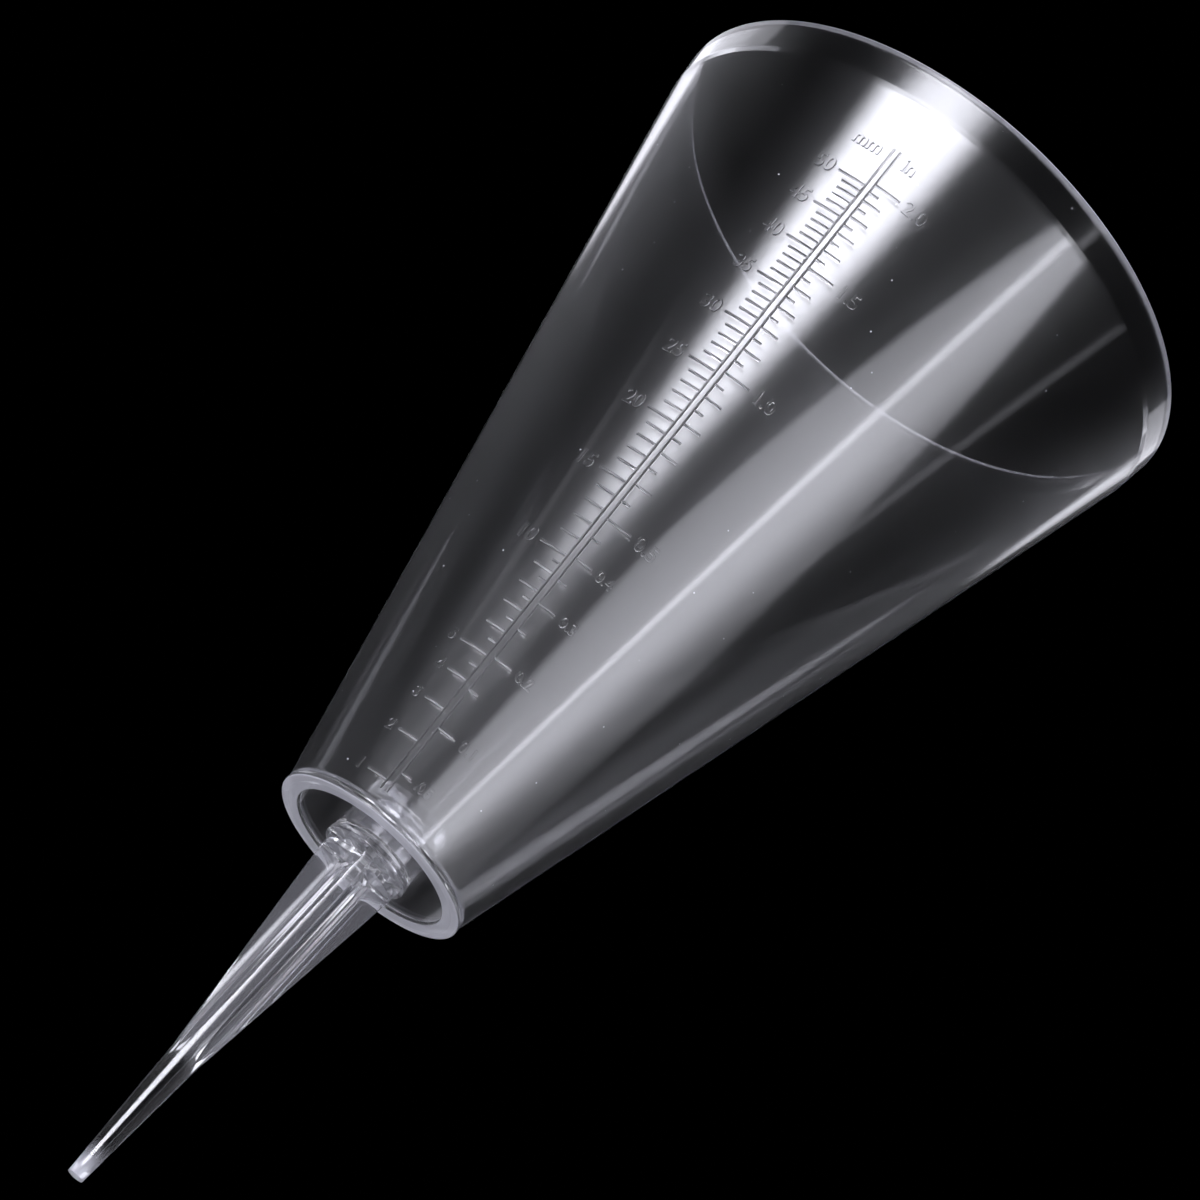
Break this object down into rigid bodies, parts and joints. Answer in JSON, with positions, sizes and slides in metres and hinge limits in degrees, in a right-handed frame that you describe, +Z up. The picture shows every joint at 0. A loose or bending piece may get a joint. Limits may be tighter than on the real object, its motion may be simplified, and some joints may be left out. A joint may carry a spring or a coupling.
{
  "type": "rain gauge",
  "caption": "Clear conical rain gauge: a moulded cup with raised millimetre and inch graduations, on a push-in ground spike with four fins.",
  "frame": {"origin": "centre of the foot ring's flat end, which is the soil line when the spike is pushed fully in", "axes": "+Z up along the cup's axis, towards the open rim; -Y faces the reader of the graduations"},
  "size_m": [0.104, 0.104, 0.2152],
  "materials": {
    "clear_cup": "clear moulded polystyrene, polished, lightly scratched",
    "clear_spike": "clear moulded polystyrene, polished, frosted at the point"
  },
  "bodies": {
    "spike": {"ground_spike": "clear_spike"},
    "cup": {"cup": "clear_cup"}
  },
  "joints": [
    {"name": "cup_lift", "type": "slide", "parent": "spike", "child": "cup", "axis": [0, 0, 1], "range_m": [0, 0.03]}
  ]
}
